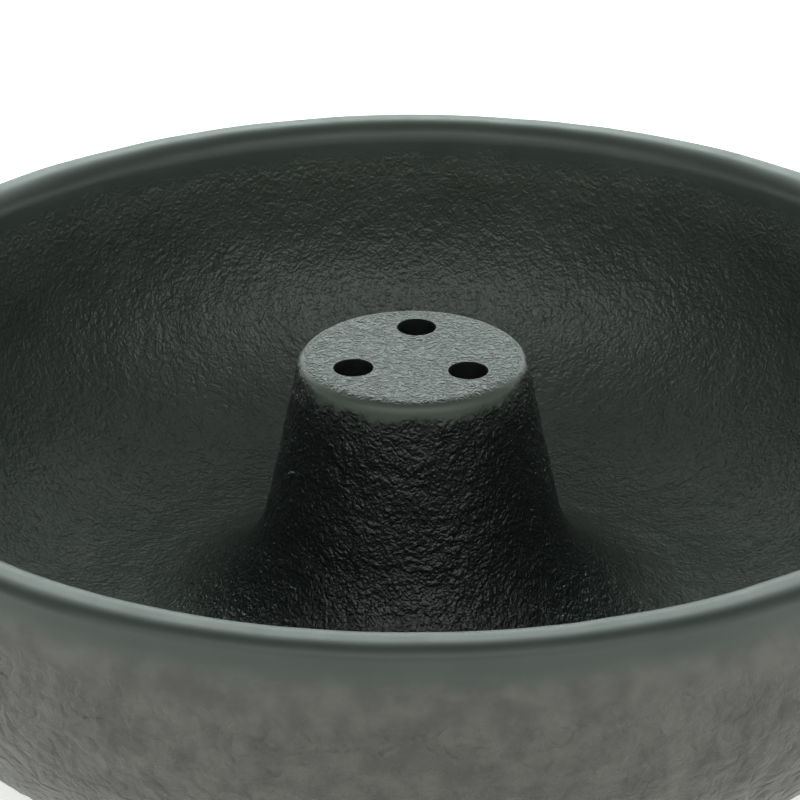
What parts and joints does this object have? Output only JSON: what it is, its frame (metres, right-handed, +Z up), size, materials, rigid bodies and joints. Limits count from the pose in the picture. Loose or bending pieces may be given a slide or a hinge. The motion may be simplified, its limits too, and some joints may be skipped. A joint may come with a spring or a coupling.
{
  "type": "incense bowl",
  "caption": "Round cast-iron incense bowl with a tapered central boss drilled for stick incense and a deep rounded channel round it that catches the ash.",
  "frame": {"origin": "on the table, on the bowl's axis, at the undersides of the rubber feet", "axes": "+Z up along the bowl's axis; +Y towards the back of the bowl, and +X to its right, as the picture shows it"},
  "size_m": [0.1, 0.1, 0.0345],
  "materials": {
    "cast_iron_skin": "dark green-grey satin lacquer over the grainy cast skin, ground smooth at the rim and round the boss's top",
    "foot_rubber": "black rubber, matt, with a smooth moulded face"
  },
  "bodies": {
    "root": {"bowl": "cast_iron_skin", "rubber_foot_1": "foot_rubber", "rubber_foot_2": "foot_rubber", "rubber_foot_3": "foot_rubber"}
  },
  "joints": []
}
